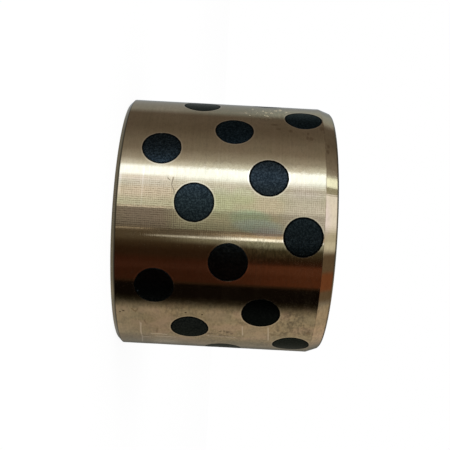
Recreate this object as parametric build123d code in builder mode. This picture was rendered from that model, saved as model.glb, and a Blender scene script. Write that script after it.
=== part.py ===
"""Graphite plugged bushing: a plain bronze sleeve carrying thirty solid-lubricant plugs.

The bushing stands on its plain end with its axis on Z, and the origin is the middle of
that end. Its other end has a long shallow taper that leads it into a housing. Rings of
graphite plugs go right through the wall, each ring turned past the one below it, so
that every part of a shaft sweeps over graphite as it turns. Units are millimetres.
"""

import os
from math import cos, radians, sin, tan

from build123d import *

# Driving dimensions of the sleeve
bore_diameter = 60.0
outer_diameter = 75.0
sleeve_length = 60.0

# Edges of the sleeve
plain_chamfer = 1.2          # outer edge of the plain end, 45 degrees
lead_in_length = 3.6         # taper at the other end, measured along the axis
lead_in_angle = 20.0         # degrees from the axis
lead_in_edge_break = 0.4     # 45 degree break where the taper meets the end face
bore_chamfer = 1.0           # both edges of the bore, 45 degrees

# Graphite plugs
plug_diameter = 10.5
ring_names = "abcde"         # one ring of plugs for each letter, upwards from the plain end
plugs_per_ring = 6
first_ring_height = 11.85    # middle of the lowest ring of plugs
ring_spacing = 9.75          # along the axis, from one ring to the next
ring_turn = 24.0             # degrees that each ring is turned past the one below it

# Sizes that follow
bore_radius = bore_diameter / 2
outer_radius = outer_diameter / 2
wall = outer_radius - bore_radius
plug_radius = plug_diameter / 2
plug_pitch = 360.0 / plugs_per_ring
taper_start = sleeve_length - lead_in_length
taper_end = sleeve_length - lead_in_edge_break
taper_depth = (taper_end - taper_start) * tan(radians(lead_in_angle))
tool_margin = 1.0            # what a drill or a plug's stock runs past the finished faces

plug_places = [(ring, place) for ring in range(len(ring_names)) for place in range(plugs_per_ring)]


def plug_height(ring):
    """Height of a ring of plugs above the plain end."""
    return first_ring_height + ring * ring_spacing


def plug_plane(ring, place, radius):
    """Plane square to a plug, with its middle on the plug's axis at the given radius."""
    angle = radians(ring * ring_turn + place * plug_pitch)
    return Plane(
        origin=(radius * cos(angle), radius * sin(angle), plug_height(ring)),
        x_dir=(-sin(angle), cos(angle), 0),
        z_dir=(cos(angle), sin(angle), 0),
    )


os.makedirs("parts", exist_ok=True)

# Sleeve: one turned piece, drilled from outside for every plug
with BuildPart() as sleeve:
    with BuildSketch(Plane.XZ) as wall_section:
        with BuildLine() as wall_outline:
            Polyline(
                (bore_radius + bore_chamfer, 0),
                (outer_radius - plain_chamfer, 0),
                (outer_radius, plain_chamfer),
                (outer_radius, taper_start),
                (outer_radius - taper_depth, taper_end),
                (outer_radius - taper_depth - lead_in_edge_break, sleeve_length),
                (bore_radius + bore_chamfer, sleeve_length),
                (bore_radius, sleeve_length - bore_chamfer),
                (bore_radius, bore_chamfer),
                close=True,
            )
        make_face()
    revolve(axis=Axis.Z)
    with Locations(*[plug_plane(ring, place, outer_radius) for ring, place in plug_places]):
        Hole(plug_radius, depth=wall + tool_margin)

sleeve.part.label = "bronze_sleeve"
export_step(sleeve.part, "parts/bronze_sleeve.step")

# Plugs: round pins driven through the wall, then turned and bored flush with the sleeve
for ring, place in plug_places:
    with BuildPart() as plug:
        with BuildSketch(plug_plane(ring, place, bore_radius - tool_margin)) as pin_section:
            Circle(plug_radius)
        extrude(amount=wall + 2 * tool_margin)
        with BuildSketch(Plane.XZ) as flush_wall:
            with Locations((bore_radius + wall / 2, plug_height(ring))):
                Rectangle(wall, plug_diameter + 2 * tool_margin)
        revolve(axis=Axis.Z, mode=Mode.INTERSECT)

    plug.part.label = f"graphite_plug_{ring_names[ring]}{place + 1}"
    export_step(plug.part, f"parts/{plug.part.label}.step")
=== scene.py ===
"""Graphite plugged bushing, dressed for pictures: turned bronze sleeve and thirty graphite plugs.

The bush stands on its plain end with its axis on Z, as the solids do. The sleeve is one
closed surface, with a deburred round hole through the wall for every plug and small
rounded corners on its ends. Each plug is a closed surface with a slightly crumbled rim.
Lengths are in metres.
"""

from math import cos, pi, radians, sin, tan

import bpy
import numpy as np
from mathutils import Matrix, Vector


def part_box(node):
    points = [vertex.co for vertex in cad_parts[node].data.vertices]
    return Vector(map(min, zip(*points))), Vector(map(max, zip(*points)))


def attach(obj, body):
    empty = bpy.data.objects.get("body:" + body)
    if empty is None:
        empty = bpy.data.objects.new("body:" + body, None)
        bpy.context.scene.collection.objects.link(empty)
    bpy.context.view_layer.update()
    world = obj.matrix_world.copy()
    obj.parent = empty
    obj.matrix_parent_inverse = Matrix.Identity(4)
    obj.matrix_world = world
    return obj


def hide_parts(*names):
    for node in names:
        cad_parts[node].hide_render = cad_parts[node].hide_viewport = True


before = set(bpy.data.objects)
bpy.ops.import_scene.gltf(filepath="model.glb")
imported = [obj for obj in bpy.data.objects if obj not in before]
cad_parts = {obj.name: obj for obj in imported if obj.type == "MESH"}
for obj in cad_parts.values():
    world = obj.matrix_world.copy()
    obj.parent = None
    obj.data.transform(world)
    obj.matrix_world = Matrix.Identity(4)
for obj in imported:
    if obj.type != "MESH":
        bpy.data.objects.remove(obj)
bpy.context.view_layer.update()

MM = 0.001

# ---------------------------------------------------------------- sizes
sleeve_low, sleeve_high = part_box("bronze_sleeve")
LENGTH = sleeve_high.z - sleeve_low.z
OUTER_RADIUS = (sleeve_high.x - sleeve_low.x) / 2
BORE_RADIUS = 30 * MM

PLAIN_CHAMFER = 1.2 * MM
LEAD_IN_LENGTH = 3.6 * MM
LEAD_IN_ANGLE = radians(20)
LEAD_IN_EDGE_BREAK = 0.4 * MM
BORE_CHAMFER = 1.0 * MM

RING_NAMES = "abcde"
PLUGS_PER_RING = 6
RING_TURN = 24.0              # degrees that each ring of plugs is turned past the one below
PLUG_PITCH = 360.0 / PLUGS_PER_RING


def plug_node(ring, place):
    """Name of a plug's solid."""
    return f"graphite_plug_{RING_NAMES[ring]}{place + 1}"


first_low, first_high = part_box(plug_node(0, 0))
next_low, next_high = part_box(plug_node(1, 0))
PLUG_RADIUS = (first_high.z - first_low.z) / 2
FIRST_RING_HEIGHT = (first_high.z + first_low.z) / 2
RING_SPACING = (next_high.z + next_low.z) / 2 - FIRST_RING_HEIGHT

HOLE_EDGE = 0.08 * MM         # radius of the deburred edge round each hole
CORNER_TURNED = 0.12 * MM     # radius left on the turned corners of the ends
CORNER_LEAD_IN = 0.3 * MM     # radius where the lead-in taper meets the outside
CORNER_REACH = CORNER_TURNED * tan(radians(45) / 2)        # from a corner to where its arc starts
LEAD_IN_REACH = CORNER_LEAD_IN * tan(LEAD_IN_ANGLE / 2)
BORE_START = BORE_CHAMFER + CORNER_REACH                   # from an end to the bore's plain wall

SAME_PLACE = 1e-6             # points nearer than this are joined
STEP = 1.5                    # degrees between the sleeve's upright lines of points
ROWS_OUTSIDE = 8              # rows of points from a hole's edge to the seam, on the outside
ROWS_BORE = 6                 # the same in the bore
ROW_CROWDING = 1.6            # above 1 crowds those rows at the hole
SEAM_WAVE = 2.8 * MM          # how far the seams between rings of plugs swing up and down
FAR_FROM_HOLE = 2.0 * MM      # past this the distance from a hole no longer matters

PLUG_SIDES = 96               # points round a plug
PLUG_SUNK = 0.02 * MM         # from the wall down to a plug's cap
CAP_ROWS = (0.18, 0.36, 0.54, 0.70, 0.83, 0.92)            # as parts of the plug's radius
RIM_WEAR = 0.17               # mean width of the crumbled rim, in millimetres
RIM_WEAR_SWING = 0.05         # and how far it strays from that
RIM_WEAR_LIMITS = (-1.8, 2.4)                              # in swings below and above the mean
RIM_WAVES = np.arange(2, 22)  # waves round the rim that it strays by
RIM_WAVE_FADE = 0.6           # how fast the shorter waves get weaker
RIM_ROWS = ((1.5, 0.0), (1.0, 0.05), (0.6, 0.16), (0.25, 0.38), (0.0, 0.7))   # in and down, in wear


# ---------------------------------------------------------------- meshes
def weld(points, faces, *values):
    """Joins points that are in one place, and turns each face to agree with its points' normals.

    Places are compared in whole steps of SAME_PLACE, and a face that has lost a side is left
    out. A face's own normal is the cross product of its diagonals, and the face is reversed
    where that points against the given normals, which are the first of the values kept with
    each point.
    """
    spots, first, which = np.unique(
        np.round(points / SAME_PLACE).astype(np.int64), axis=0, return_index=True, return_inverse=True
    )
    points = points[first]
    values = [value[first] for value in values]
    faces = which.reshape(-1)[faces]
    whole = (faces[:, :, None] == faces[:, None, :]).sum(axis=(1, 2)) == 4
    faces = faces[whole]
    corners = points[faces]
    facing = np.cross(corners[:, 2] - corners[:, 0], corners[:, 3] - corners[:, 1])
    against = np.einsum("ij,ij->i", facing, values[0][faces].sum(axis=1)) < 0
    faces[against] = faces[against][:, ::-1]
    return points, faces, *values


def grid_faces(rows, columns, start=0):
    """Four-sided faces of a grid of points, row after row, closed in a ring along each row."""
    row, column = np.meshgrid(np.arange(rows - 1), np.arange(columns), indexing="ij")
    this_row, next_row = row * columns, (row + 1) * columns
    after = (column + 1) % columns
    quads = np.stack([this_row + column, this_row + after, next_row + after, next_row + column], axis=-1)
    return quads.reshape(-1, 4) + start


def make_piece(name, points, faces, material, normals=None, **attributes):
    """Puts whole arrays into a smooth mesh object at the origin. Faces are lists of corners.

    Each attribute, one number to a point, is kept with the mesh for its material.
    """
    mesh = bpy.data.meshes.new(name)
    mesh.from_pydata(points.tolist(), [], faces)
    mesh.polygons.foreach_set("use_smooth", np.ones(len(faces), bool))
    mesh.update()
    if normals is not None:
        mesh.normals_split_custom_set_from_vertices(normals.tolist())
    for attribute, values in attributes.items():
        mesh.attributes.new(attribute, "FLOAT", "POINT").data.foreach_set("value", values)
    mesh.materials.append(material)
    piece = bpy.data.objects.new(name, mesh)
    bpy.context.scene.collection.objects.link(piece)
    return piece


def rounded_profile(corners, radii, arc_steps=4, run_steps=2):
    """Path of straight runs with rounded corners, as points and normals on (radius, height).

    Each corner is cut back by radius times the tangent of half the turn, and an arc that
    touches both runs joins the cut points. A point's normal is the path's direction turned
    a quarter turn to the left: (-rise, run).
    """
    corners = np.array(corners, float)
    along = np.diff(corners, axis=0)
    along /= np.linalg.norm(along, axis=1)[:, None]
    heading = np.arctan2(along[:, 1], along[:, 0])
    places, headings = [corners[:1]], [heading[:1]]
    for number, radius in enumerate(radii, start=1):
        turn = (heading[number] - heading[number - 1] + pi) % (2 * pi) - pi
        reach = radius * tan(abs(turn) / 2)
        begin = corners[number] - along[number - 1] * reach
        side = np.sign(turn) * radius
        left = np.array([-along[number - 1][1], along[number - 1][0]])
        centre = begin + left * side
        bearings = heading[number - 1] + np.linspace(0, turn, arc_steps + 1)
        arc = centre - side * np.stack([-np.sin(bearings), np.cos(bearings)], axis=1)
        last = places[-1][-1]
        fractions = np.linspace(0, 1, run_steps + 1)[1:-1, None]
        places += [last + (begin - last) * fractions, arc]
        headings += [np.full(len(fractions), heading[number - 1]), bearings]
    places.append(corners[-1:])
    headings.append(heading[-1:])
    path, bearing = np.concatenate(places), np.concatenate(headings)
    return path, np.stack([-np.sin(bearing), np.cos(bearing)], axis=1)


def lathe(path, path_normals):
    """Turns a profile about the axis: each profile point (r, z) goes to (r cos u, r sin u, z)."""
    turn = np.radians(np.arange(0, 360, STEP))
    radius, height = path[:, :1], path[:, 1:]
    across, up = path_normals[:, :1], path_normals[:, 1:]
    flat = np.ones_like(turn)
    points = np.stack([radius * np.cos(turn), radius * np.sin(turn), height * flat], axis=-1)
    normals = np.stack([across * np.cos(turn), across * np.sin(turn), up * flat], axis=-1)
    return points.reshape(-1, 3), grid_faces(len(path), len(turn)), normals.reshape(-1, 3)


def seam_height(seam, from_plug, flat_low, flat_high):
    """Height of the seam below ring number `seam`, at an angle from that ring's plug.

    Seams between rings swing in a cosine of one wave to each plug, up over the plugs below
    them and down under the plugs above them. The lowest and highest seams are flat.
    """
    if seam == 0:
        return np.full_like(from_plug, flat_low)
    if seam == len(RING_NAMES):
        return np.full_like(from_plug, flat_high)
    middle = FIRST_RING_HEIGHT + (seam - 0.5) * RING_SPACING
    lag = (RING_TURN + PLUG_PITCH / 2) / 2
    return middle + SEAM_WAVE * np.cos(2 * pi * (from_plug + lag) / PLUG_PITCH)


def patch_outline(ring, flat_low, flat_high, side_steps=8):
    """Outline of the patch of wall round one plug, as degrees from the plug and height.

    It runs along the seam below, up one side, back along the seam above and down the other
    side, with the sides half a pitch from the plug.
    """
    half = PLUG_PITCH / 2
    across = np.arange(-half, half + STEP / 2, STEP)
    below = seam_height(ring, across, flat_low, flat_high)
    above = seam_height(ring + 1, across - RING_TURN, flat_low, flat_high)
    rise = np.arange(1, side_steps) / side_steps
    right = below[-1] + (above[-1] - below[-1]) * rise
    left = above[0] + (below[0] - above[0]) * rise
    sides = np.full(side_steps - 1, half)
    angle = np.concatenate([across, sides, across[::-1], -sides])
    return angle, np.concatenate([below, right, above[::-1], left])


def wall_patch(ring):
    """Rows of points of one patch: in from the seam outside, through the hole, and out inside.

    A row's points lie on the lines from the hole's edge to the outline, at the row's share
    of the rows to the power ROW_CROWDING, so rows crowd at the hole. The hole's edge is a
    quarter round: at an angle f its distance from the plug's axis is a + e(1 - sin f) and
    its depth is e(1 - cos f), where a is the plug's radius and e the edge's. A point a
    distance d along the wall from the plug's axis, on a cylinder of radius r, is the angle
    arcsin(d / r) round it. Gives angles, heights, radii, both parts of the normals, and the
    bearing of each line about the plug's axis.
    """
    outside_flat = (PLAIN_CHAMFER + CORNER_REACH, LENGTH - LEAD_IN_LENGTH - LEAD_IN_REACH)
    outline, outline_height = patch_outline(ring, *outside_flat)
    inline, inline_height = patch_outline(ring, BORE_START, LENGTH - BORE_START)
    middle = FIRST_RING_HEIGHT + ring * RING_SPACING
    bearing = np.arctan2(outline_height - middle, np.radians(outline) * OUTER_RADIUS)

    def field(radius, angles, heights, facing, rows):
        """The part of a patch on one cylinder, from the hole's edge to the outline."""
        reach = PLUG_RADIUS + HOLE_EDGE
        start_angle = np.degrees(np.arcsin(reach * np.cos(bearing) / radius))
        start_height = middle + reach * np.sin(bearing)
        part = (np.arange(rows + 1) / rows)[:, None] ** ROW_CROWDING
        angle = start_angle + (angles - start_angle) * part
        height = start_height + (heights - start_height) * part
        flat_radius, outward_part, inward_part = (np.full_like(angle, value) for value in (radius, facing, 0))
        return angle, height, flat_radius, outward_part, inward_part

    def edge(radius, facing, rows=4):
        """The quarter round at the hole's edge, from the hole's wall to the cylinder."""
        turn = np.linspace(90, 0, rows + 1)[:-1, None] * pi / 180
        reach = PLUG_RADIUS + HOLE_EDGE * (1 - np.sin(turn))
        depth = HOLE_EDGE * (1 - np.cos(turn))
        local = radius - facing * depth
        angle = np.degrees(np.arcsin(reach * np.cos(bearing) / local))
        height = middle + reach * np.sin(bearing)
        whole = np.ones_like(angle)
        return angle, height, local * whole, facing * np.cos(turn) * whole, np.sin(turn) * whole

    outer_field = field(OUTER_RADIUS, outline, outline_height, 1, ROWS_OUTSIDE)
    bore_field = field(BORE_RADIUS, inline, inline_height, -1, ROWS_BORE)
    outside = [np.concatenate(both) for both in zip(edge(OUTER_RADIUS, 1), outer_field)]
    inside = [np.concatenate(both) for both in zip(edge(BORE_RADIUS, -1), bore_field)]
    return *(np.concatenate([outer[::-1], inner]) for outer, inner in zip(outside, inside)), bearing


def sleeve_surface():
    """The whole sleeve: thirty patches of wall and two turned ends.

    Gives points, four-sided faces, normals and each point's distance from the nearest hole.
    """
    points, faces, normals, distances, count = [], [], [], [], 0

    def add(new_points, new_faces, new_normals, new_distances):
        nonlocal count
        points.append(new_points)
        faces.append(new_faces + count)
        normals.append(new_normals)
        distances.append(new_distances)
        count += len(new_points)

    for ring in range(len(RING_NAMES)):
        angle, height, radius, facing, inward, bearing = wall_patch(ring)
        for place in range(PLUGS_PER_RING):
            middle = ring * RING_TURN + place * PLUG_PITCH
            round_axis = np.radians(middle + angle)
            spot = np.stack([radius * np.cos(round_axis), radius * np.sin(round_axis), height], axis=-1)
            radial = np.stack([np.cos(round_axis), np.sin(round_axis), np.zeros_like(angle)], axis=-1)
            sideways = np.array([-sin(radians(middle)), cos(radians(middle)), 0])
            upright = np.array([0, 0, 1.0])
            to_axis = -(np.cos(bearing)[:, None] * sideways + np.sin(bearing)[:, None] * upright)
            normal = radial * facing[..., None] + to_axis * inward[..., None]
            away = spot - np.array([cos(radians(middle)), sin(radians(middle)), 0]) * radius[..., None]
            away[..., 2] -= FIRST_RING_HEIGHT + ring * RING_SPACING
            distance = np.clip(np.linalg.norm(away, axis=-1) - PLUG_RADIUS, 0, FAR_FROM_HOLE) / MM
            add(spot.reshape(-1, 3), grid_faces(*angle.shape), normal.reshape(-1, 3), distance.reshape(-1))

    taper = (LEAD_IN_LENGTH - LEAD_IN_EDGE_BREAK) * tan(LEAD_IN_ANGLE)
    plain_end = rounded_profile(
        [
            (OUTER_RADIUS, PLAIN_CHAMFER + CORNER_REACH),
            (OUTER_RADIUS, PLAIN_CHAMFER),
            (OUTER_RADIUS - PLAIN_CHAMFER, 0),
            (BORE_RADIUS + BORE_CHAMFER, 0),
            (BORE_RADIUS, BORE_CHAMFER),
            (BORE_RADIUS, BORE_START),
        ],
        [CORNER_TURNED] * 4,
    )
    lead_in_end = rounded_profile(
        [
            (BORE_RADIUS, LENGTH - BORE_START),
            (BORE_RADIUS, LENGTH - BORE_CHAMFER),
            (BORE_RADIUS + BORE_CHAMFER, LENGTH),
            (OUTER_RADIUS - taper - LEAD_IN_EDGE_BREAK, LENGTH),
            (OUTER_RADIUS - taper, LENGTH - LEAD_IN_EDGE_BREAK),
            (OUTER_RADIUS, LENGTH - LEAD_IN_LENGTH),
            (OUTER_RADIUS, LENGTH - LEAD_IN_LENGTH - LEAD_IN_REACH),
        ],
        [CORNER_TURNED] * 4 + [CORNER_LEAD_IN],
    )
    for profile in (plain_end, lead_in_end):
        turned, skin, square = lathe(*profile)
        add(turned, skin, square, np.full(len(turned), FAR_FROM_HOLE / MM))
    return weld(*(np.concatenate(part) for part in (points, faces, normals, distances)))


def plug_surface(ring, place):
    """One plug: two worn caps flush with the sleeve, joined by a round wall.

    Rows are circles about the plug's axis. A row at distance d and bearing t is the angle
    arcsin(d cos t / r) round a cylinder of radius r and d sin t above the plug's middle.
    Near the rim the cap drops away over a width that waves with a few seeded harmonics.
    Gives points, faces and each point's distance in from the rim.
    """
    rng = np.random.default_rng(100 * ring + place)
    around = np.arange(PLUG_SIDES) * 2 * pi / PLUG_SIDES
    size = rng.normal(size=(2, len(RIM_WAVES))) / RIM_WAVES ** RIM_WAVE_FADE
    phase = np.outer(RIM_WAVES, around)
    wobble = size[0] @ np.cos(phase) + size[1] @ np.sin(phase)
    crumble = (RIM_WEAR + RIM_WEAR_SWING * np.clip(wobble / wobble.std(), *RIM_WEAR_LIMITS)) * MM
    middle = ring * RING_TURN + place * PLUG_PITCH
    height = FIRST_RING_HEIGHT + ring * RING_SPACING

    flats = np.array(CAP_ROWS)[:, None] * PLUG_RADIUS
    flats = flats + 0 * around
    distance = np.concatenate([flats, [PLUG_RADIUS - crumble * inward for inward, _ in RIM_ROWS]])
    depth = np.concatenate([0 * flats, [crumble * down for _, down in RIM_ROWS]]) + PLUG_SUNK

    def cap(radius, facing):
        """A cap's rows from its middle to the rim, with a single point at the middle."""
        local = radius - facing * depth
        angle = radians(middle) + np.arcsin(distance * np.cos(around) / local)
        tall = height + distance * np.sin(around)
        rows = np.stack([local * np.cos(angle), local * np.sin(angle), tall], axis=-1)
        out = radius - facing * PLUG_SUNK
        pole = np.array([[out * cos(radians(middle)), out * sin(radians(middle)), height]])
        return pole, rows.reshape(-1, 3)

    pole_out, rows_out = cap(OUTER_RADIUS, 1)
    pole_in, rows_in = cap(BORE_RADIUS, -1)
    rows, columns = distance.shape
    rows_in = rows_in.reshape(rows, columns, 3)[::-1].reshape(-1, 3)
    points = np.concatenate([pole_out, rows_out, rows_in, pole_in])
    skin = grid_faces(2 * rows, columns, start=1)
    column = np.arange(columns)
    after = (column + 1) % columns
    last = 1 + (2 * rows - 1) * columns
    fan_out = np.stack([np.zeros(columns, int), column + 1, after + 1], axis=1)
    fan_in = np.stack([np.full(columns, len(points) - 1), last + after, last + column], axis=1)
    inside = (PLUG_RADIUS - distance) / MM
    inside = np.concatenate([[PLUG_RADIUS / MM], inside.ravel(), inside[::-1].ravel(), [PLUG_RADIUS / MM]])
    return points, fan_out.tolist() + skin[:, ::-1].tolist() + fan_in.tolist(), inside


# ---------------------------------------------------------------- shader maths
class Wire:
    """One socket of a node tree, with Python's arithmetic on numbers."""

    def __init__(self, net, socket):
        self.net = net
        self.socket = socket

    def maths(self, operation, *values, clamp=False):
        """One maths node on numbers and wires."""
        settings = {"operation": operation, "use_clamp": clamp}
        return self.net.node("ShaderNodeMath", settings, dict(enumerate(values)))

    def __add__(self, other):
        return self.maths("ADD", self, other)

    def __radd__(self, other):
        return self.maths("ADD", other, self)

    def __sub__(self, other):
        return self.maths("SUBTRACT", self, other)

    def __rsub__(self, other):
        return self.maths("SUBTRACT", other, self)

    def __mul__(self, other):
        return self.maths("MULTIPLY", self, other)

    def __rmul__(self, other):
        return self.maths("MULTIPLY", other, self)

    def __truediv__(self, other):
        return self.maths("DIVIDE", self, other)

    def __pow__(self, other):
        return self.maths("POWER", self, other)

    def __abs__(self):
        return self.maths("ABSOLUTE", self)

    def sine(self):
        return self.maths("SINE", self)

    def clamped(self):
        """Kept from 0 to 1."""
        return self.maths("ADD", self, 0.0, clamp=True)

    def step(self, low, high):
        """0 at low and 1 at high, with a smooth rise between them."""
        settings = {"interpolation_type": "SMOOTHSTEP"}
        return self.net.node(
            "ShaderNodeMapRange", settings, {"Value": self, "From Min": low, "From Max": high}
        )

    def between(self, start, full, fade, end):
        """0 up to start, 1 from full to fade, and 0 again from end, with smooth sides."""
        return self.step(start, full) * (1 - self.step(fade, end))


class Net:
    """A node tree, and the one way that nodes are added to it."""

    def __init__(self, tree):
        self.tree = tree
        tree.nodes.clear()

    def node(self, kind, settings=None, inputs=None, output=0):
        """Adds a node: its settings, then its inputs' values or links. Gives one output."""
        node = self.tree.nodes.new(kind)
        for name, value in (settings or {}).items():
            setattr(node, name, value)
        for name, value in (inputs or {}).items():
            if isinstance(value, Wire):
                self.tree.links.new(value.socket, node.inputs[name])
            else:
                node.inputs[name].default_value = value
        return Wire(self, node.outputs[output]) if node.outputs else None

    def mix(self, factor, first, second, blend="MIX"):
        """Colour mix: first where factor is 0, second where it is 1."""
        settings = {"data_type": "RGBA", "blend_type": blend, "clamp_result": False}
        colours = {0: factor, 6: first, 7: second}
        for key in (6, 7):
            if isinstance(colours[key], tuple):
                colours[key] = (*colours[key], 1)
        return self.node("ShaderNodeMix", settings, colours, output=2)

    def vector(self, operation, *values, output=0):
        """One maths node on vectors. Output 1 is a number."""
        return self.node("ShaderNodeVectorMath", {"operation": operation}, dict(enumerate(values)), output)

    def attribute(self, name):
        """A number that is kept with each point of a mesh."""
        return self.node("ShaderNodeAttribute", {"attribute_name": name}, output="Fac")

    def noise(self, place, scale, detail=2.0, roughness=0.5):
        """Smooth noise, about 0.5 in the mean."""
        inputs = {"Vector": place, "Scale": scale, "Detail": detail, "Roughness": roughness}
        return self.node("ShaderNodeTexNoise", {}, inputs)


def material_net(name):
    """A new material and its net."""
    material = bpy.data.materials.new(name)
    material.use_nodes = True
    return material, Net(material.node_tree)


def finish_material(net, sockets):
    """Ends a material in one principled shader."""
    shader = net.node("ShaderNodeBsdfPrincipled", {}, sockets)
    net.node("ShaderNodeOutputMaterial", {}, {"Surface": shader})


# ---------------------------------------------------------------- finishes
def spots(arc, tall, places):
    """1 in soft-edged ovals. Each is a middle (degrees round, height) and half sizes in mm.

    At a point the squares of the two distances from the middle, each in half sizes, add up
    to less than 1 inside the oval.
    """
    total = 0.0
    for turn, height, half_round, half_tall in places:
        across = (arc - radians(turn) * OUTER_RADIUS / MM) * (1 / half_round)
        along = (tall - height) * (1 / half_tall)
        total = total + (1 - (across * across + along * along).step(0.2, 1.0))
    return total.clamped()


def scratches(arc, tall, runs):
    """1 along straight scratches. Each runs from one (degrees round, height) to another.

    Its last number is its width in mm. The distance across a run is the dot product with its
    left-hand direction.
    """
    total = 0.0
    for turn, height, last_turn, last_height, width in runs:
        start = radians(turn) * OUTER_RADIUS / MM
        run = radians(last_turn) * OUTER_RADIUS / MM - start
        rise = last_height - height
        length = (run * run + rise * rise) ** 0.5
        run, rise = run / length, rise / length
        along = (arc - start) * run + (tall - height) * rise
        across = abs((tall - height) * run - (arc - start) * rise)
        within = along.between(-0.3, 0.2, length - 0.2, length + 0.3)
        total = total + within * (1 - across.step(0.3 * width, width))
    return total.clamped()


# Small dents and dark pits: ovals, as `spots` takes them
PITS = (
    (-45.0, 2.4, 0.38, 0.38),
    (-45.7, 3.4, 0.34, 0.42),
    (-46.6, 20.5, 0.38, 0.38),
    (-45.9, 25.0, 0.38, 0.38),
    (-34.0, 30.2, 0.30, 0.45),
    (-34.8, 31.4, 0.40, 0.50),
    (-34.2, 32.4, 0.32, 0.61),
    (-32.6, 33.6, 0.42, 0.60),
    (95.0, 22.0, 0.54, 0.54),
    (160.0, 48.0, 0.61, 0.47),
    (38.0, 9.0, 0.47, 0.68),
)
# Faded dark specks
SPECKS = (
    (-133.8, 46.9, 0.85, 0.70),
    (-132.6, 51.8, 0.70, 0.50),
    (-129.6, 51.6, 0.80, 0.50),
    (-129.2, 52.6, 0.90, 0.70),
    (-136.7, 55.8, 1.20, 0.80),
    (-138.1, 42.5, 0.70, 1.30),
    (-134.9, 43.6, 0.60, 1.00),
    (-125.6, 57.2, 1.00, 0.50),
    (-122.4, 57.0, 0.90, 0.50),
    (-36.4, 55.0, 0.80, 0.80),
    (62.0, 30.0, 0.80, 0.70),
    (128.0, 51.0, 0.90, 0.60),
)
# Pale flecks
FLECKS = (
    (-145.8, 35.4, 0.55, 0.45),
    (-148.3, 34.3, 0.70, 0.50),
    (-146.0, 40.7, 0.60, 0.60),
    (-147.0, 40.0, 0.80, 0.35),
    (-150.2, 40.3, 0.90, 0.55),
    (-150.0, 41.8, 0.80, 0.60),
    (-152.4, 39.4, 0.80, 0.40),
    (-155.5, 44.6, 1.40, 0.70),
    (-154.2, 43.2, 1.20, 0.60),
    (-154.6, 36.4, 1.00, 0.40),
    (-149.4, 37.6, 0.70, 0.40),
    (-152.1, 46.2, 0.90, 0.40),
    (118.0, 15.0, 0.68, 1.22),
)
# Where the bronze is freckled
FRECKLED = (
    (-76.8, 40.0, 4.2, 6.0),
    (-76.2, 48.0, 3.4, 5.0),
    (-152.0, 41.0, 8.0, 9.0),
)
# Faded dark scratches
FADED = (
    (-47.6, 5.7, -46.0, 6.2, 0.40),
    (-46.0, 6.2, -45.7, 6.8, 0.40),
    (-45.7, 6.8, -47.3, 7.4, 0.40),
    (-34.6, 44.3, -32.6, 47.6, 0.40),
    (-33.4, 44.8, -33.6, 48.4, 0.34),
    (-34.4, 12.6, -30.0, 12.2, 0.40),
    (-34.2, 24.5, -33.0, 26.8, 0.34),
    (-160.4, 37.0, -160.0, 43.5, 0.50),
    (-40.5, 9.0, -37.5, 9.4, 0.30),
)
# Dark scratches, as `scratches` takes them
SCRATCHES = (
    (-105.6, 14.2, -104.4, 14.9, 0.20),
    (-105.9, 15.7, -102.6, 15.4, 0.20),
    (-102.6, 15.4, -100.0, 16.2, 0.16),
    (-99.6, 16.2, -97.4, 16.6, 0.22),
    (-29.8, 27.2, -29.2, 34.2, 0.26),
    (-32.0, 26.0, -31.6, 29.4, 0.30),
    (-30.6, 29.8, -30.8, 32.6, 0.26),
    (-26.8, 7.9, -25.2, 10.4, 0.22),
    (72.0, 30.0, 76.0, 36.0, 0.16),
    (-170.0, 12.0, -166.0, 20.0, 0.16),
)
# Bright rubbed lines
RUBS = (
    (-38.1, 8.0, -30.2, 7.7, 0.30),
    (-30.2, 7.7, -24.5, 7.9, 0.24),
    (-24.5, 7.9, -15.3, 7.4, 0.30),
    (-24.3, 7.9, -25.0, 10.3, 0.45),
    (-28.9, 10.6, -28.6, 15.2, 0.40),
    (-26.2, 12.0, -26.0, 17.6, 0.35),
    (-39.2, 36.4, -31.6, 36.7, 0.24),
    (-39.4, 43.6, -27.8, 44.2, 0.24),
    (-29.7, 26.7, -29.1, 34.5, 0.50),
    (140.0, 40.0, 150.0, 42.0, 0.20),
)
# Where dirt sticks: ovals
DIRTY = (
    (-45.0, 50.0, 4.5, 4.0),
    (-40.0, 50.5, 4.0, 5.0),
    (-37.5, 54.0, 2.5, 2.5),
    (-36.0, 47.2, 2.0, 3.0),
    (-34.2, 32.0, 1.0, 2.6),
    (150.0, 22.0, 5.0, 6.0),
)
# Where the bronze is paler: ovals
PALE = (
    (-46.2, 12.0, 3.0, 3.0),
    (-40.0, 14.5, 5.0, 3.5),
    (-35.4, 40.0, 5.0, 3.7),
    (-46.0, 29.0, 3.5, 4.0),
    (-25.0, 13.5, 2.0, 6.0),
    (-23.8, 21.5, 1.6, 3.6),
    (-146.4, 40.2, 2.0, 5.5),
    (-150.5, 38.5, 2.2, 4.5),
    (-147.0, 34.5, 1.8, 2.5),
    (85.0, 42.0, 5.0, 4.0),
)

# Faint colour patches where the groove lines show: an oval and the colour in it
TINTED = (
    ((-97.0, 9.0, 9.0, 9.0), (0.64, 0.485, 0.33)),
    ((-91.0, 51.0, 12.0, 8.0), (0.65, 0.48, 0.365)),
    ((-96.0, 28.5, 5.0, 5.0), (0.60, 0.53, 0.30)),
    ((-99.5, 34.5, 3.0, 4.0), (0.62, 0.54, 0.30)),
    ((-95.5, 41.5, 3.4, 4.6), (0.72, 0.50, 0.34)),
    ((-90.6, 36.5, 2.8, 7.0), (0.47, 0.53, 0.33)),
    ((-87.6, 38.5, 2.2, 8.0), (0.54, 0.57, 0.49)),
    ((-85.2, 41.5, 1.6, 5.5), (0.57, 0.49, 0.47)),
)
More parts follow.
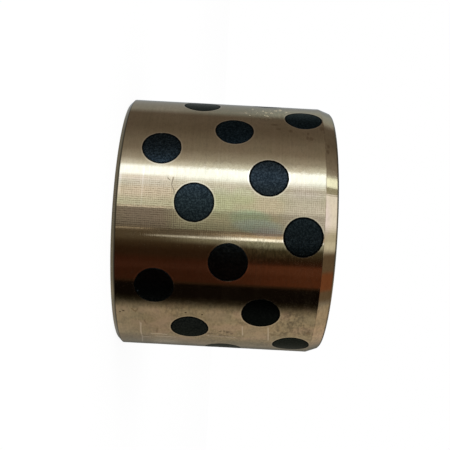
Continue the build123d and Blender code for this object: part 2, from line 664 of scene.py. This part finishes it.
# Where things begin, are full, fade and end: in degrees round the sleeve
# where the tool's grooves show with painted shade and glints
LIT_GROOVES = (-107.5, -102, -85.5, -82.2)
HANDLED = (-58, -50, -16, 0)
ETCHED = (-168, -150, -110, -107)
OLIVE_END = (-175, -170, -146, -141)
# where the painted highlight above the plain chamfer lies, round the sleeve
EDGE_GLINT_TURNS = (-108, -105, -99, -95)
RUBBED = ((0.6, (-111, -108, -95, -92)), (1.0, (-40, -38, -29, -27)), (1.0, (50, 60, 130, 150)))
# in millimetres above the plain end
WITNESS_LINE = (7.45, 7.60, 7.8, 8.0)
# the height of the painted highlight above the plain chamfer
EDGE_GLINT_HEIGHTS = (1.2, 1.4, 1.7, 2.3)
TAPER_LINE = (56.15, 56.3, 56.42, 56.55)
PLAIN_CORNER = (0.8, 1.0, 1.25, 1.45)
BETWEEN_FACES = (0.02, 0.05, 59.95, 59.98)
LEAD_IN_FACE = (59.35, 59.6)
# in millimetres from the axis
FACES = (30.9, 31.1, 35.6, 35.8)
LEAD_IN_RIM = (35.6, 35.8, 36.4, 36.6)
PLAIN_CORNER_ROUND = (36.9, 37.2, 37.52, 37.6)
# and in millimetres from a hole
PALE_RING_REACH = (0.10, 0.18, 0.34, 0.6)

FEED = 0.545 * MM             # from one turned line to the next
CHATTER_MARKS = 408.0         # marks of the tool's chatter, round the sleeve
FACE_TRAVEL = 1.3             # what a step out along an end face counts as up the wall
BRONZE_RELIEF = 0.001 * MM    # depth that 1 stands for in the bronze's bumps
GRAPHITE_RELIEF = 0.022 * MM  # and in the graphite's

BRONZE, BRONZE_PALER = (0.60, 0.455, 0.275), (0.64, 0.495, 0.31)
GREENISH, PINKISH = (0.56, 0.52, 0.32), (0.66, 0.46, 0.31)
CUT_SHADE, CUT_GLINT = (0.31, 0.225, 0.135), (0.84, 0.69, 0.49)
RING_SHADE, RING_GLINT = (0.42, 0.32, 0.20), (0.78, 0.62, 0.42)
STAIN, SPECKLE_SHADE, SPECKLE_GLINT = (0.33, 0.265, 0.18), (0.36, 0.285, 0.19), (0.82, 0.68, 0.48)
FRECKLE_SHADE, FRECKLE_GLINT = (0.26, 0.23, 0.12), (0.86, 0.76, 0.48)
WORN_PINK, WORN_OLIVE, PLAIN_END_GREY = (0.78, 0.55, 0.40), (0.44, 0.38, 0.25), (0.48, 0.42, 0.30)
DIRT, PALE_BRONZE, RUBBED_AND_GLINT_BRONZE = (0.22, 0.17, 0.11), (0.78, 0.58, 0.42), (0.90, 0.74, 0.58)
TAPER_SHADE, CORNER_SHADE = (0.30, 0.20, 0.13), (0.13, 0.10, 0.06)
DARK_MARK, FADED_MARK, FLECK = (0.18, 0.12, 0.07), (0.28, 0.18, 0.09), (0.78, 0.70, 0.52)
OLIVE, PALE_RING_BRONZE = (0.46, 0.42, 0.26), (0.88, 0.72, 0.52)
GRAPHITE_DUST_AND_SHADE = (0.010, 0.012, 0.014)
GRAPHITE, GRAPHITE_GLINT = (0.011, 0.0145, 0.0160), (0.044, 0.052, 0.052)
GRAPHITE_DULL_AND_SHADE = (0.003, 0.004, 0.004)
COOL_GLINT = (1.0, 1.38, 1.75)
GRAPHITE_EDGE_TINT = (0.56, 0.57, 0.54, 1.0)


def turned_bronze():
    """Bronze turned on a lathe: feed lines round it and chatter along it, as bumps with painted shade and
    glints, and handling marks.

    Distances round the outside and up it are in millimetres. Lines that the lathe cuts are
    stretched noise on height plus radius, so that they run round the faces of the ends too.
    """
    material, net = material_net("turned_bronze")
    place = net.node("ShaderNodeTexCoord", output=3)
    x, y, z = (net.node("ShaderNodeSeparateXYZ", {}, {0: place}, output=axis) for axis in range(3))
    angle = x.maths("ARCTAN2", y, x)
    turn = angle * (180 / pi)
    tall = z / MM
    radius = (x * x + y * y) ** 0.5 / MM
    travel = z + radius * (FACE_TRAVEL * MM)
    lathe_place = net.node("ShaderNodeCombineXYZ", {}, {0: x, 1: y, 2: travel})

    def drawn(x_scale, y_scale, travel_scale, detail):
        """Noise drawn out by scales per metre."""
        scaled = net.vector("MULTIPLY", lathe_place, (x_scale, y_scale, travel_scale))
        return net.noise(scaled, 1.0, detail, 0.6)

    fine_rings = drawn(25.0, 25.0, 1900.0, 3.0)
    broad_rings = drawn(12.0, 12.0, 420.0, 2.0)
    axis_lines = drawn(1100.0, 1100.0, 45.0, 2.0)
    dashes = drawn(620.0, 620.0, 700.0, 1.0)
    cloud = net.noise(place, 90.0, 3.0, 0.55)
    grime = net.noise(place, 420.0, 4.0, 0.65)
    hue = drawn(70.0, 70.0, 150.0, 2.0)
    wander = net.noise(place, 900.0, 2.0, 0.5)
    frayed = net.noise(place, 1500.0, 1.0, 0.5)
    speckle = net.noise(net.vector("MULTIPLY", place, (800.0, 800.0, 1600.0)), 1.0, 2.0, 0.6)
    arc = angle * (OUTER_RADIUS / MM) + (wander - 0.5) * 0.5
    tall_wander = tall + (grime - 0.5) * 0.5

    # where the tool's grooves show, with painted shade and glints, on the side that faces the camera, and
    # where the sleeve lay and was handled
    outside = radius.step(33.5, 34.5)
    lit_grooves = 0.06 + 0.94 * turn.between(*LIT_GROOVES)
    handled = 0.2 + 0.8 * turn.between(*HANDLED)
    tinted = lit_grooves * outside
    etched = turn.between(*ETCHED) * tall.step(14, 26) * outside

    tone = net.mix(cloud.step(0.3, 0.7), BRONZE, BRONZE_PALER)
    tone = net.mix(hue.step(0.35, 0.5) * 0.10, tone, GREENISH)
    tone = net.mix((1 - hue.step(0.45, 0.62)) * 0.12, tone, PINKISH)
    for oval, colour in TINTED:
        tone = net.mix(spots(arc, tall, [oval]) * tinted * 0.9, tone, colour)

    chatter = (angle * CHATTER_MARKS + wander * 4.5).sine()
    feed = (travel * (2 * pi / FEED) + wander * 6.0).sine()
    woven = lit_grooves * (1 - tall.step(56.2, 56.5)) * (1 - tall.step(16, 34) * 0.25)
    cut_share = (0.45 + 0.55 * dashes.step(0.36, 0.58)) * (0.30 + 0.70 * frayed.step(0.42, 0.56)) * woven
    feed_share = (0.35 + 0.65 * (1 - dashes.step(0.40, 0.62))) * (0.30 + 0.70 * frayed.step(0.60, 0.44))
    feed_share = feed_share * woven
    cut_lines = chatter.step(-0.3, 0.8) * cut_share * (1 - tall.step(20, 34) * 0.35)
    feed_lines = feed.step(-0.3, 0.8) * feed_share * (0.55 + tall.step(8, 24) * 0.45)
    # the chatter and feed lines: painted shade in their grooves, then painted glints on their ridges
    tone = net.mix((cut_lines * 0.85 + feed_lines * 0.60).clamped(), tone, CUT_SHADE)
    thread_glints = (1 - chatter.step(-0.9, 0.1)) * cut_share + (1 - feed.step(-0.9, 0.0)) * feed_share * 0.7
    tone = net.mix((thread_glints * 0.5).clamped(), tone, CUT_GLINT)
    faced = 1 + radius.between(*FACES) * (1 - tall.between(*BETWEEN_FACES)) * 1.2
    tone = net.mix((fine_rings.step(0.55, 0.72) * faced * 0.28).clamped(), tone, RING_SHADE)
    tone = net.mix(((1 - fine_rings.step(0.30, 0.45)) * faced * 0.22).clamped(), tone, RING_GLINT)

    stain = grime.step(0.46, 0.64) * handled
    tone = net.mix(stain * 0.45, tone, STAIN)
    tone = net.mix(speckle.step(0.50, 0.66) * (0.2 + handled * 0.8) * 0.6, tone, SPECKLE_SHADE)
    tone = net.mix((1 - speckle.step(0.34, 0.48)) * handled * 0.35, tone, SPECKLE_GLINT)
    freckled = spots(arc, tall, FRECKLED) * outside
    tone = net.mix(freckled * speckle.step(0.44, 0.60) * 0.45, tone, FRECKLE_SHADE)
    tone = net.mix(freckled * (1 - speckle.step(0.36, 0.48)) * 0.4, tone, FRECKLE_GLINT)
    worn = net.noise(net.vector("MULTIPLY", place, (240.0, 240.0, 170.0)), 1.0, 2.0, 0.5)
    tone = net.mix(worn.step(0.5, 0.68) * handled * 0.45, tone, WORN_PINK)
    tone = net.mix((1 - worn.step(0.32, 0.52)) * handled * 0.38, tone, WORN_OLIVE)
    # greyer towards the plain end, on the handled side
    tone = net.mix(handled * (1 - tall.step(4, 14)) * 0.35, tone, PLAIN_END_GREY)
    dirt = grime.step(0.44, 0.66) * 0.4 + speckle.step(0.42, 0.60) * 0.6
    patch = spots(arc, tall, DIRTY) * outside
    tone = net.mix(patch * dirt * 0.65, tone, DIRT)
    pale_patch = spots(arc, tall, PALE) * outside
    tone = net.mix(pale_patch * (0.15 + worn * 0.30), tone, PALE_BRONZE)

    rubbed = sum(turn.between(*span) * share for share, span in RUBBED)
    witness = tall.between(*WITNESS_LINE) * rubbed * (0.4 + frayed)
    # a painted highlight along the foot of the wall, just above the plain chamfer
    edge_glint = tall.between(*EDGE_GLINT_HEIGHTS) * turn.between(*EDGE_GLINT_TURNS)
    rubs = scratches(arc, tall, RUBS)
    # paler along rubbed lines, and where the painted highlight lies
    tone = net.mix(((witness * 0.5 + edge_glint * 0.4 + rubs) * outside).clamped(), tone, RUBBED_AND_GLINT_BRONZE)
    edge_line = tall.between(*TAPER_LINE) * dashes.step(0.3, 0.6) * outside
    tone = net.mix(edge_line * 0.5, tone, TAPER_SHADE)
    rim = radius.between(*LEAD_IN_RIM) * tall.step(*LEAD_IN_FACE)
    corner = tall.between(*PLAIN_CORNER) * radius.between(*PLAIN_CORNER_ROUND)
    tone = net.mix((rim * 0.75 + corner * 0.85).clamped(), tone, CORNER_SHADE)
    marks = (spots(arc, tall_wander, PITS) + scratches(arc, tall_wander, SCRATCHES)).clamped() * outside
    tone = net.mix(marks * 0.7, tone, DARK_MARK)
    faded = (spots(arc, tall_wander, SPECKS) + scratches(arc, tall_wander, FADED)).clamped() * outside
    tone = net.mix(faded * (0.15 + frayed * 0.65), tone, FADED_MARK)
    flecks = spots(arc, tall_wander, FLECKS) * frayed.step(0.36, 0.50) * outside
    tone = net.mix(flecks * 0.6, tone, FLECK)
    olive = etched * turn.between(*OLIVE_END)
    tone = net.mix(olive * (0.25 + grime.step(0.4, 0.6) * 0.4), tone, OLIVE)

    from_hole = net.attribute("from_hole")
    # a paler ring round each hole
    pale_ring = from_hole.between(*PALE_RING_REACH)
    tone = net.mix(pale_ring * 0.55, tone, PALE_RING_BRONZE)
    # a thin dark ring at each hole's edge: graphite dust, and painted shade where the gap to the plug lies
    dust_and_shade = 1 - (from_hole + (wander - 0.5) * 0.30).step(0.07, 0.17)
    tone = net.mix(dust_and_shade, tone, GRAPHITE_DUST_AND_SHADE)

    ripple = chatter * 0.7 * lit_grooves + feed * 0.4 + fine_rings * faced * 1.6 + axis_lines * 0.8
    height = ripple + speckle * (etched * 13.0 + 0.6) - marks * 12.0
    bump = net.node("ShaderNodeBump", {}, {"Strength": 1.0, "Distance": BRONZE_RELIEF, "Height": height})
    rough = 0.055 + fine_rings.step(0.45, 0.75) * 0.035 + (1 - broad_rings.step(0.3, 0.5)) * 0.03
    finish_material(net, {
        "Base Color": tone,
        "Metallic": 1.0 - flecks * 0.45,
        "Roughness": rough + stain * 0.10 + flecks * 0.35 + marks * 0.3 + dust_and_shade * 0.2,
        "Normal": bump,
    })
    return material


# How much of its glint a plug keeps, and how cool the glint is. The others have FULL_GLINT.
FULL_GLINT = (1.0, 0.0)
PLUG_LOOKS = {
    "a1": (1.0, 0.3),
    "a2": (0.75, 0.0),
    "a5": (1.0, 0.35),
    "b1": (0.7, 0.0),
    "b2": (1.0, 0.4),
    "b3": (0.85, 0.0),
    "b5": (1.0, 0.3),
    "b6": (0.85, 0.0),
    "c1": (1.0, 0.5),
    "c2": (0.6, 0.0),
    "c4": (1.0, 1.0),
    "d1": (0.8, 0.2),
    "d4": (0.70, 0.0),
    "d5": (0.2, 0.0),
    "e2": (0.8, 0.3),
    "e3": (1.0, 1.0),
    "e4": (0.6, 0.3),
    "e5": (0.85, 0.0),
}


def pressed_graphite():
    """Pressed graphite: dark flakes with a faint metallic, bluish glint, and a duller rim darkened with
    painted shade.
    """
    material, net = material_net("pressed_graphite")
    place = net.node("ShaderNodeTexCoord", output=3)
    flakes = net.noise(place, 1900.0, 3.0, 0.75)
    cloud = net.noise(place, 160.0, 2.0, 0.5)
    rim = 1 - net.attribute("from_hole").step(0.20, 0.55)
    colour = net.mix(flakes.step(0.41, 0.68), GRAPHITE, GRAPHITE_GLINT)
    colour = net.mix(net.attribute("coolness"), colour, COOL_GLINT, "MULTIPLY")
    # duller where a plug keeps less of its glint, and darker near the rim: worn crumble and painted shade
    # where the rim drops into the gap
    colour = net.mix((1 - net.attribute("polish") + rim * 0.75).clamped(), colour, GRAPHITE_DULL_AND_SHADE)
    bump = net.node("ShaderNodeBump", {}, {"Strength": 1.0, "Distance": GRAPHITE_RELIEF, "Height": flakes})
    finish_material(net, {
        "Base Color": colour,
        "Metallic": 1.0,
        "Roughness": 0.20 + cloud * 0.08 + rim * 0.15,
        "Specular Tint": GRAPHITE_EDGE_TINT,
        "Normal": bump,
    })
    return material


# ---------------------------------------------------------------- the bush
bronze = turned_bronze()
graphite = pressed_graphite()

sleeve_points, sleeve_faces, sleeve_normals, sleeve_distances = sleeve_surface()
sleeve = make_piece(
    "turned_sleeve", sleeve_points, sleeve_faces.tolist(), bronze, sleeve_normals,
    from_hole=sleeve_distances,
)
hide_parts("bronze_sleeve")
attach(sleeve, "root")

for ring in range(len(RING_NAMES)):
    for place in range(PLUGS_PER_RING):
        plug_points, plug_faces, plug_depths = plug_surface(ring, place)
        label = f"{RING_NAMES[ring]}{place + 1}"
        polish, coolness = (np.full(len(plug_points), look) for look in PLUG_LOOKS.get(label, FULL_GLINT))
        plug = make_piece(
            f"pressed_plug_{label}", plug_points, plug_faces, graphite,
            from_hole=plug_depths, polish=polish, coolness=coolness,
        )
        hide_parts(plug_node(ring, place))
        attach(plug, "root")

# ---------------------------------------------------------------- camera
CAMERA_AZIMUTH = radians(-86.93)     # where the camera stands round the bush
CAMERA_DISTANCE = 233.1 * MM         # from the axis
CAMERA_HEIGHT = 30.06 * MM           # level with the middle of the bush
CAMERA_ASIDE = 0.29 * MM             # off the line through the axis, towards the picture's top
CAMERA_ROLL = radians(3.04)          # past a quarter turn, so that the axis lies across the picture
LENS = 59.55                         # millimetres
SENSOR = 36                          # its width in millimetres
NEAR_LIMIT = 10 * MM                 # nothing nearer to the camera is drawn

outward = Vector((cos(CAMERA_AZIMUTH), sin(CAMERA_AZIMUTH), 0))
upward = Vector((0, 0, 1))
down_picture = (-outward).cross(upward)
right = upward * cos(CAMERA_ROLL) - down_picture * sin(CAMERA_ROLL)
up = -(upward * sin(CAMERA_ROLL) + down_picture * cos(CAMERA_ROLL))
camera_data = bpy.data.cameras.new("camera")
camera_data.lens = LENS
camera_data.sensor_width = SENSOR
camera_data.clip_start = NEAR_LIMIT
camera = bpy.data.objects.new("camera", camera_data)
bpy.context.scene.collection.objects.link(camera)
axes = Matrix((right, up, outward)).transposed()
stand = outward * CAMERA_DISTANCE + upward * CAMERA_HEIGHT - down_picture * CAMERA_ASIDE
camera.matrix_world = Matrix.Translation(stand) @ axes.to_4x4()
bpy.context.scene.camera = camera

# ---------------------------------------------------------------- floor, lamps and surround
WHITE = (1.0, 1.0, 1.0)
FLOOR_COLOUR = (0.95, 0.95, 0.95, 1)
FLOOR_GLOW = 0.92             # share of the floor that the camera sees as plain white
HALF_FLOOR = 3.0
ROOM_LIGHT = (0.9, 0.9, 0.9)  # what everything that is not a mirror is lit by
KEY_PLACE, KEY_SIZE, KEY_WATTS = (-0.35, -0.5, 0.6), 0.5, 3.0


def pale_floor():
    """White floor that still takes the shadow of the bush."""
    material, net = material_net("pale_floor")
    ray = net.node("ShaderNodeLightPath", output=0)
    diffuse = net.node("ShaderNodeBsdfDiffuse", {}, {"Color": FLOOR_COLOUR})
    glow = net.node("ShaderNodeEmission", {}, {"Color": (*WHITE, 1), "Strength": 1.0})
    both = net.node("ShaderNodeMixShader", {}, {0: ray * FLOOR_GLOW, 1: diffuse, 2: glow})
    net.node("ShaderNodeOutputMaterial", {}, {"Surface": both})
    return material


floor_points = np.array([(-1, -1, 0), (1, -1, 0), (1, 1, 0), (-1, 1, 0)]) * HALF_FLOOR
floor = make_piece("floor", floor_points, [(0, 1, 2, 3)], pale_floor())
floor.visible_glossy = False

# What the polished sleeve mirrors, in the order it is laid down. A card has bearings from the
# camera, in degrees (below 0 towards the picture's top), heights in degrees above the level of
# the camera, and a light level. Each set of four is where it starts, is full, fades and ends.
ALL_BEARINGS = (-182, -181, 181, 182)
ABOVE = (-60, -40, 91, 92)
BELOW_CARD = (-92, -91, -4.3, -3.6)
LOW = (-92, -91, 14, 24)
HIGH = (14, 24, 91, 92)
STUDIO_CARDS = (
    # grey screen, far doorway and half-lit wall beside the window
    ((-175, -157, -118, -110), ABOVE, (0.285, 0.308, 0.32)),
    ((-152, -142, -123, -121), (0.5, 4.5, 91, 92), (0.365, 0.395, 0.40)),
    ((-131, -119, -70, -60), ABOVE, (0.130, 0.117, 0.106)),
    ((-101, -64, -58, -50), ABOVE, (0.260, 0.252, 0.244)),
    ((-72, -57, -50, -45), ABOVE, (0.48, 0.51, 0.53)),
    # bright reveal under the window, then the pale wall, which is darker beside the shelf
    ((-61, -52, -33, -14), LOW, (0.98, 1.14, 1.30)),
    ((-36, -22, -15, -9), LOW, (0.75, 0.88, 0.84)),
    ((-36, -29, -27, -17), (-92, -91, -5.5, -2.0), (0.97, 1.03, 1.06)),
    ((-30, -20, -15, -9), (3, 8, 14, 24), (0.84, 0.97, 0.99)),
    ((-37, -35, -33.5, -32), (-1.5, 3.5, 14, 24), (0.73, 0.82, 0.88)),
    ((-15, -9, 20, 28), LOW, (0.43, 0.48, 0.43)),
    ((-7, 3, 20, 28), (-6, -3, 3, 8), (0.29, 0.33, 0.29)),
    ((-15, -8, 4.2, 5.0), (2.5, 9, 14, 24), (0.66, 0.73, 0.76)),
    # window
    ((-54, -50, -45, -36.5), LOW, (1.80, 2.30, 3.1)),
    ((-44, -41, -39, -36), (-92, -91, -5.5, -3.5), (1.20, 1.36, 1.65)),
    # dark card in front of the wall, with a bright slit above it
    ((-15.2, -14.5, -13.8, -13.0), BELOW_CARD, (0.86, 0.88, 0.86)),
    ((-13.5, -12.7, 4.4, 5.2), BELOW_CARD, (0.275, 0.268, 0.262)),
    ((-6, 4, 4.4, 5.2), BELOW_CARD, (0.195, 0.190, 0.185)),
    # shade under the wall, with a thin pale strip at one end and a double one at the other
    ((4.2, 4.8, 80, 88), LOW, (0.030, 0.0165, 0.0095)),
    ((4.2, 4.8, 16, 25), LOW, (0.052, 0.037, 0.023)),
    ((4.2, 4.8, 12.8, 18.2), LOW, (0.098, 0.082, 0.060)),
    ((4.1, 4.7, 9.7, 10.3), (-6.0, -5.4, 14, 24), (0.125, 0.115, 0.098)),
    ((4.1, 4.7, 9.7, 10.3), (-4, 6, 14, 24), (0.35, 0.325, 0.28)),
    ((6.6, 7.5, 9.4, 10.2), (-2.5, 4.5, 14, 24), (0.70, 0.64, 0.55)),
    ((3.7, 4.1, 4.9, 5.3), (-92, -91, -5.9, -5.6), (0.145, 0.125, 0.100)),
    ((5.0, 5.4, 6.6, 7.1), (-92, -91, -5.9, -5.6), (0.35, 0.325, 0.285)),
    # lit shelf edge, which is thicker to one end, and what fades away under it
    ((11, 13, 19, 29), (0, 4, 14, 24), (0.058, 0.052, 0.033)),
    ((10, 12, 13, 18.5), (-5.5, -1.0, 14, 24), (0.24, 0.255, 0.22)),
    ((10, 12, 13.5, 20.0), (-1.0, 4.5, 14, 24), (0.36, 0.41, 0.37)),
    ((10.4, 10.8, 11.6, 12.2), (-5.7, -5.5, 14, 24), (0.54, 0.58, 0.62)),
    ((10.1, 10.6, 11.6, 12.2), (-4.5, -1.5, 14, 24), (0.94, 1.06, 1.20)),
    ((9.3, 10.0, 11.5, 12.2), (-0.8, 1.8, 4.2, 6.5), (1.75, 2.05, 2.40)),
    # dark room with a red-brown cabinet
    ((27, 34, 51.5, 54.5), LOW, (0.042, 0.0155, 0.009)),
    ((32, 39, 39, 43.5), LOW, (0.054, 0.021, 0.0135)),
    ((31.5, 34.5, 51.5, 54.0), (-2, 7, 14, 24), (0.090, 0.031, 0.0155)),
    ((32, 36, 39, 43.5), (-2, 7, 14, 24), (0.105, 0.039, 0.022)),
    ((53.5, 56.5, 100, 110), LOW, (0.0050, 0.0035, 0.0025)),
    # tan bench, darker to one end, and the grey behind it
    ((68, 82, 181, 182), LOW, (0.045, 0.040, 0.028)),
    ((73.5, 89, 181, 182), ABOVE, (0.385, 0.358, 0.305)),
    ((84, 94, 118, 128), (-7.2, -6, -1.5, 0.5), (0.325, 0.300, 0.252)),
    ((88, 104, 128, 142), (1, 3, 4.5, 6), (0.40, 0.372, 0.315)),
    ((118, 142, 181, 182), ABOVE, (0.25, 0.243, 0.215)),
    ((122, 136, 181, 182), (-92, -91, -5.6, -4.6), (0.235, 0.228, 0.205)),
    ((125, 142, 181, 182), (-5.2, -4.4, -3.6, -2.6), (0.33, 0.325, 0.30)),
    ((144, 158, 181, 182), ABOVE, (0.15, 0.15, 0.135)),
    # overhead: the window's head, a white ceiling and the cabinet's lit top
    ((-64, -58, 76, 88), HIGH, (0.14, 0.11, 0.08)),
    ((-64, -56, -50, -48), HIGH, (1.48, 1.79, 1.92)),
    ((-50, -48, -42.5, -39), HIGH, (0.42, 0.45, 0.40)),
    ((-43, -39, 1, 7), HIGH, (1.18, 1.30, 1.56)),
    ((-8, 6, 9, 13), HIGH, (0.66, 0.70, 0.68)),
    ((8, 13, 18, 28), HIGH, (0.78, 0.85, 0.84)),
    ((43, 50, 64, 70), HIGH, (0.20, 0.080, 0.040)),
    ((81, 95, 134, 156), HIGH, (0.50, 0.44, 0.375)),
    ((-150, -140, -118, -110), (26, 38, 91, 92), (0.17, 0.17, 0.155)),
    # straight up and down
    (ALL_BEARINGS, (58, 74, 91, 92), (0.26, 0.30, 0.33)),
    (ALL_BEARINGS, (74, 84, 91, 92), (0.40, 0.42, 0.43)),
    (ALL_BEARINGS, (-92, -91, -45, -14), (0.20, 0.215, 0.22)),
    ((-130, -118, -100, -95), (-86, -80, -62, -54), (0.34, 0.335, 0.31)),
    ((118, 130, 181, 182), (-60, -52, -24, -14), (0.27, 0.275, 0.26)),
)
BACK_WALL = (0.42, 0.48, 0.55)


def studio_world():
    """White behind the bush, and round it the studio that its polished metal mirrors."""
    world = bpy.data.worlds.new("studio")
    bpy.context.scene.world = world
    world.use_nodes = True
    net = Net(world.node_tree)
    direction = net.node("ShaderNodeTexCoord", output=0)
    toward = net.vector("DOT_PRODUCT", direction, tuple(outward), output=1)
    aside = net.vector("DOT_PRODUCT", direction, tuple(down_picture), output=1)
    upright = net.vector("DOT_PRODUCT", direction, tuple(upward), output=1)
    bearing = toward.maths("ARCTAN2", aside, toward) * (180 / pi)
    height = upright.maths("ARCSINE", upright) * (180 / pi)
    mirrored = BACK_WALL
    for bearings, heights, level in STUDIO_CARDS:
        card = bearing.between(*bearings) * height.between(*heights)
        mirrored = net.mix(card, mirrored, level)
    glossy = net.node("ShaderNodeLightPath", output="Is Glossy Ray")
    camera_ray = net.node("ShaderNodeLightPath", output="Is Camera Ray")
    seen = net.mix(glossy, ROOM_LIGHT, mirrored)
    seen = net.mix(camera_ray, seen, WHITE)
    background = net.node("ShaderNodeBackground", {}, {"Color": seen, "Strength": 1.0})
    net.node("ShaderNodeOutputWorld", {}, {"Surface": background})


studio_world()


def soft_lamp(name, position, size, watts):
    """Square area lamp that faces the middle of the bush."""
    data = bpy.data.lights.new(name, "AREA")
    data.size = size
    data.energy = watts
    lamp = bpy.data.objects.new(name, data)
    lamp.location = position
    middle = Vector((0, 0, LENGTH / 2))
    lamp.rotation_euler = (middle - Vector(position)).to_track_quat("-Z", "Y").to_euler()
    lamp.visible_glossy = False
    bpy.context.scene.collection.objects.link(lamp)


soft_lamp("key_lamp", KEY_PLACE, KEY_SIZE, KEY_WATTS)

bpy.context.scene.view_settings.view_transform = "Standard"
